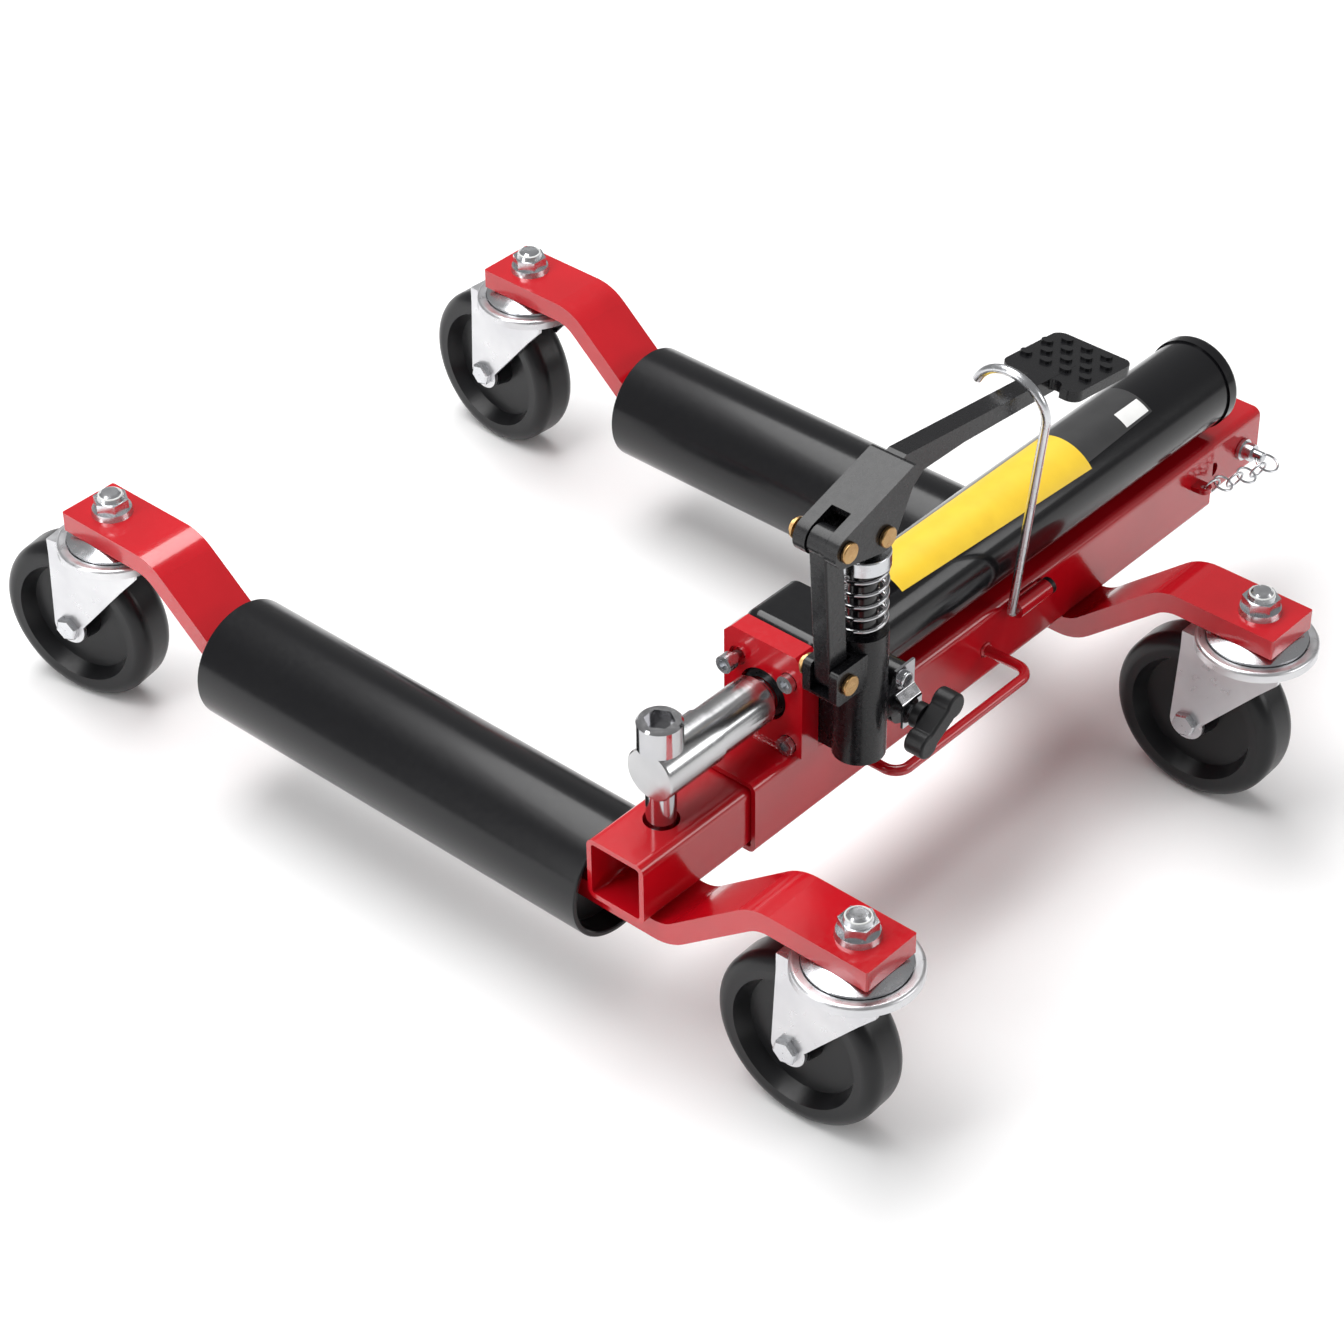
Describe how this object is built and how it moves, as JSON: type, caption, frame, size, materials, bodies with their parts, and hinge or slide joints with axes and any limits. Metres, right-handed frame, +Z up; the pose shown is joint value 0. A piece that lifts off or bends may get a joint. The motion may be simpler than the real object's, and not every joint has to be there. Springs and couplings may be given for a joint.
{
  "type": "hydraulic wheel dolly",
  "caption": "Hydraulic wheel dolly on swivel casters: a foot pump draws loose rollers together under a tyre to lift it.",
  "frame": {"origin": "middle of the footprint, on the floor under the casters", "axes": "+X along the square tubes from the front bar to the rear bar; +Y along the rollers, away from the pump; +Z up"},
  "size_m": [0.546, 0.6485, 0.3005],
  "materials": {
    "red_paint": "gloss red enamel",
    "black_paint": "gloss black enamel",
    "black_steel": "black oxide, satin",
    "black_plastic": "satin",
    "zinc_plate": "bright zinc plate",
    "bright_steel": "bright turned steel",
    "yellow_pins": "yellow zinc plate",
    "wheel_black": "semi-gloss moulded"
  },
  "bodies": {
    "frame": {"outer_tube": "red_paint", "ram_mount_plate": "red_paint", "plate_screws": "zinc_plate", "cylinder_head": "black_paint", "gland_nut": "black_steel", "cylinder_barrel": "black_paint", "cylinder_end_cap": "black_paint", "oil_filler_plug": "black_plastic", "pump_body": "black_paint", "fulcrum_pin": "yellow_pins", "valve_retainer": "bright_steel", "retainer_screw": "zinc_plate", "guard_rail": "red_paint", "hook_tube": "red_paint", "rear_bar": "red_paint", "rear_roller_bushes": "black_plastic", "rear_kingpins": "zinc_plate", "rear_kingpin_nuts": "zinc_plate", "rear_top_races": "zinc_plate", "rear_race_balls": "bright_steel", "lock_chain": "zinc_plate", "pump_spring": "bright_steel"},
    "carriage": {"inner_tube": "red_paint", "front_bar": "red_paint", "front_roller_bushes": "black_plastic", "rod_end": "bright_steel", "ram_rod": "bright_steel", "ram_piston": "black_steel", "coupling_bolt": "bright_steel", "coupling_nut": "zinc_plate", "front_kingpins": "zinc_plate", "front_kingpin_nuts": "zinc_plate", "front_top_races": "zinc_plate", "front_race_balls": "bright_steel"},
    "front_roller_body": {"front_roller": "black_paint"},
    "rear_roller_body": {"rear_roller": "black_paint"},
    "link": {"pump_link": "black_paint", "lever_pin": "yellow_pins"},
    "pedal": {"pedal_lever": "black_paint"},
    "plunger": {"pump_plunger": "black_paint", "spring_cup": "zinc_plate", "plunger_pin": "yellow_pins"},
    "release": {"release_knob": "black_plastic", "release_spindle": "bright_steel"},
    "hook": {"pedal_hook": "zinc_plate", "hook_collar": "black_steel"},
    "lock_pin": {"safety_pin": "zinc_plate", "pin_ring": "zinc_plate"},
    "swivel_front_left": {"fork_front_left": "zinc_plate", "axle_front_left": "zinc_plate"},
    "wheel_body_front_left": {"wheel_front_left": "wheel_black"},
    "swivel_front_right": {"fork_front_right": "zinc_plate", "axle_front_right": "zinc_plate"},
    "wheel_body_front_right": {"wheel_front_right": "wheel_black"},
    "swivel_rear_left": {"fork_rear_left": "zinc_plate", "axle_rear_left": "zinc_plate"},
    "wheel_body_rear_left": {"wheel_rear_left": "wheel_black"},
    "swivel_rear_right": {"fork_rear_right": "zinc_plate", "axle_rear_right": "zinc_plate"},
    "wheel_body_rear_right": {"wheel_rear_right": "wheel_black"}
  },
  "joints": [
    {"name": "carriage_slide", "type": "slide", "parent": "frame", "child": "carriage", "axis": [1, 0, 0], "range_m": [-0.028, 0]},
    {"name": "front_roller_spin", "type": "hinge", "parent": "carriage", "child": "front_roller_body", "pos_m": [-0.238, 0.00423, 0.079], "axis": [0, 1, 0], "continuous": true},
    {"name": "rear_roller_spin", "type": "hinge", "parent": "frame", "child": "rear_roller_body", "pos_m": [0.101, 0.00773, 0.0755], "axis": [0, 1, 0], "continuous": true},
    {"name": "link_pivot", "type": "hinge", "parent": "frame", "child": "link", "pos_m": [-0.152, -0.20177, 0.191], "axis": [0, 1, 0], "range_deg": [0, 3.5]},
    {"name": "pedal_pivot", "type": "hinge", "parent": "link", "child": "pedal", "pos_m": [-0.158, -0.20177, 0.276], "axis": [0, 1, 0], "range_deg": [0, 20], "stiffness_Nm_per_rad": 3, "springref_deg": -34.38},
    {"name": "plunger_slide", "type": "slide", "parent": "frame", "child": "plunger", "axis": [0, 0, -1], "range_m": [0, 0.012], "deforming": ["pump_spring"]},
    {"name": "hook_swing", "type": "hinge", "parent": "frame", "child": "hook", "pos_m": [0.04, -0.18427, 0.121], "axis": [1, 0, 0], "range_deg": [0, 27]},
    {"name": "release_turn", "type": "hinge", "parent": "frame", "child": "release", "pos_m": [-0.107, -0.23277, 0.15], "axis": [0, -1, 0], "range_deg": [0, 90]},
    {"name": "lock_pin_slide", "type": "slide", "parent": "carriage", "child": "lock_pin", "axis": [0, -1, 0], "range_m": [0, 0.05], "deforming": ["lock_chain"]},
    {"name": "swivel_turn_front_left", "type": "hinge", "parent": "carriage", "child": "swivel_front_left", "pos_m": [-0.238, 0.24523, 0.11235], "axis": [0, 0, 1], "continuous": true},
    {"name": "wheel_spin_front_left", "type": "hinge", "parent": "swivel_front_left", "child": "wheel_body_front_left", "pos_m": [-0.2433, 0.27273, 0.0508], "axis": [-0.982, -0.1891, 0], "continuous": true},
    {"name": "swivel_turn_front_right", "type": "hinge", "parent": "carriage", "child": "swivel_front_right", "pos_m": [-0.238, -0.29077, 0.11235], "axis": [0, 0, 1], "continuous": true},
    {"name": "wheel_spin_front_right", "type": "hinge", "parent": "swivel_front_right", "child": "wheel_body_front_right", "pos_m": [-0.23873, -0.26277, 0.0508], "axis": [-0.9997, -0.0262, 0], "continuous": true},
    {"name": "swivel_turn_rear_left", "type": "hinge", "parent": "frame", "child": "swivel_rear_left", "pos_m": [0.101, 0.24523, 0.11235], "axis": [0, 0, 1], "continuous": true},
    {"name": "wheel_spin_rear_left", "type": "hinge", "parent": "swivel_rear_left", "child": "wheel_body_rear_left", "pos_m": [0.10266, 0.27319, 0.0508], "axis": [-0.9982, 0.0593, 0], "continuous": true},
    {"name": "swivel_turn_rear_right", "type": "hinge", "parent": "frame", "child": "swivel_rear_right", "pos_m": [0.101, -0.29077, 0.11235], "axis": [0, 0, 1], "continuous": true},
    {"name": "wheel_spin_rear_right", "type": "hinge", "parent": "swivel_rear_right", "child": "wheel_body_rear_right", "pos_m": [0.10046, -0.26277, 0.0508], "axis": [-0.9998, -0.0192, 0], "continuous": true}
  ],
  "couplings": [
    {"joint": "link_pivot", "follows": "pedal_pivot", "ratio": 0.155},
    {"joint": "plunger_slide", "follows": "pedal_pivot", "m_per_rad": 0.0314},
    {"joint": "hook_swing", "follows": "pedal_pivot", "ratio": 1.3}
  ]
}
